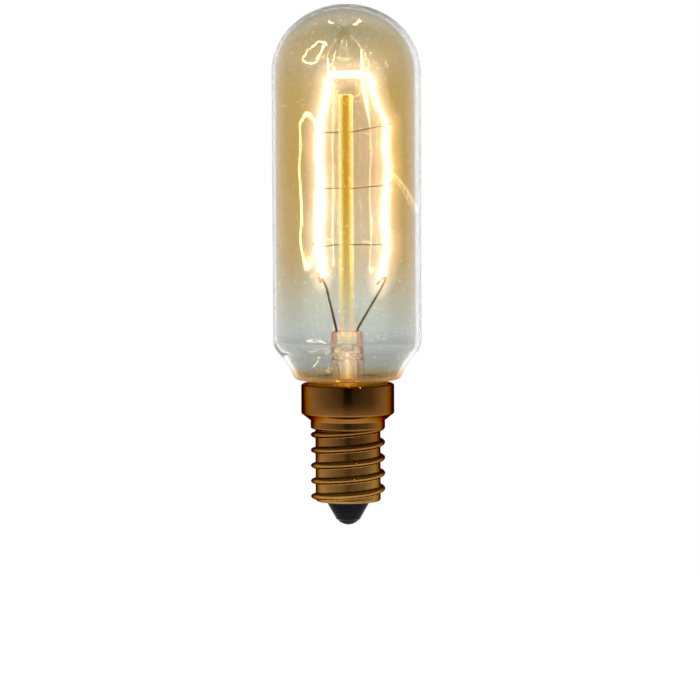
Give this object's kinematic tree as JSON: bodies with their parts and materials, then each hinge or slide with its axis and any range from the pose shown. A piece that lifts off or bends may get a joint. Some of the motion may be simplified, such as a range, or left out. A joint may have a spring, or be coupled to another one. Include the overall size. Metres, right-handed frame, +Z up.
{
  "type": "filament bulb",
  "caption": "Tubular lustred-glass filament bulb with a glass stem, wire-held filament and a small brass screw cap.",
  "frame": {"origin": "tip of the centre contact, on the bulb's axis, where the screw cap meets its holder", "axes": "+Z up the bulb's axis to the dome, +X to the right and -Y to the front, the side on which the stem's blow hole opens"},
  "size_m": [0.027, 0.027, 0.0947],
  "materials": {
    "lustred_glass": "clear glass with a gold lustre that fades to pale blue-grey at the foot",
    "stem_glass": "clear fire-polished glass",
    "lead_nickel": "dull drawn wire",
    "seal_copper": "copper-clad wire, oxidised red",
    "lead_copper": "dull copper",
    "fuse_wire": "dull thin wire",
    "filament_tungsten": "glowing coiled wire",
    "support_wire": "dark drawn wire",
    "aged_brass": "antique brass, satin and browned",
    "black_glass": "glossy black glass",
    "dark_brass": "tarnished",
    "solder": "dull grey",
    "cement": "matt baked cement"
  },
  "bodies": {
    "root": {"glass_envelope": "lustred_glass", "stem_flare": "stem_glass", "exhaust_tube": "stem_glass", "support_rod": "stem_glass", "inner_lead_left": "lead_nickel", "inner_lead_right": "lead_nickel", "seal_wire_left": "seal_copper", "seal_wire_right": "seal_copper", "outer_lead_side": "lead_copper", "fuse_lead": "fuse_wire", "filament": "filament_tungsten", "top_hook_left": "support_wire", "top_hook_right": "support_wire", "anchor_upper_left": "support_wire", "anchor_upper_right": "support_wire", "anchor_middle_left": "support_wire", "anchor_middle_right": "support_wire", "anchor_lower_left": "support_wire", "anchor_lower_right": "support_wire", "cap_shell": "aged_brass", "cap_insulator": "black_glass", "centre_contact": "dark_brass", "contact_solder": "solder", "side_solder": "solder", "basing_cement": "cement"}
  },
  "joints": []
}
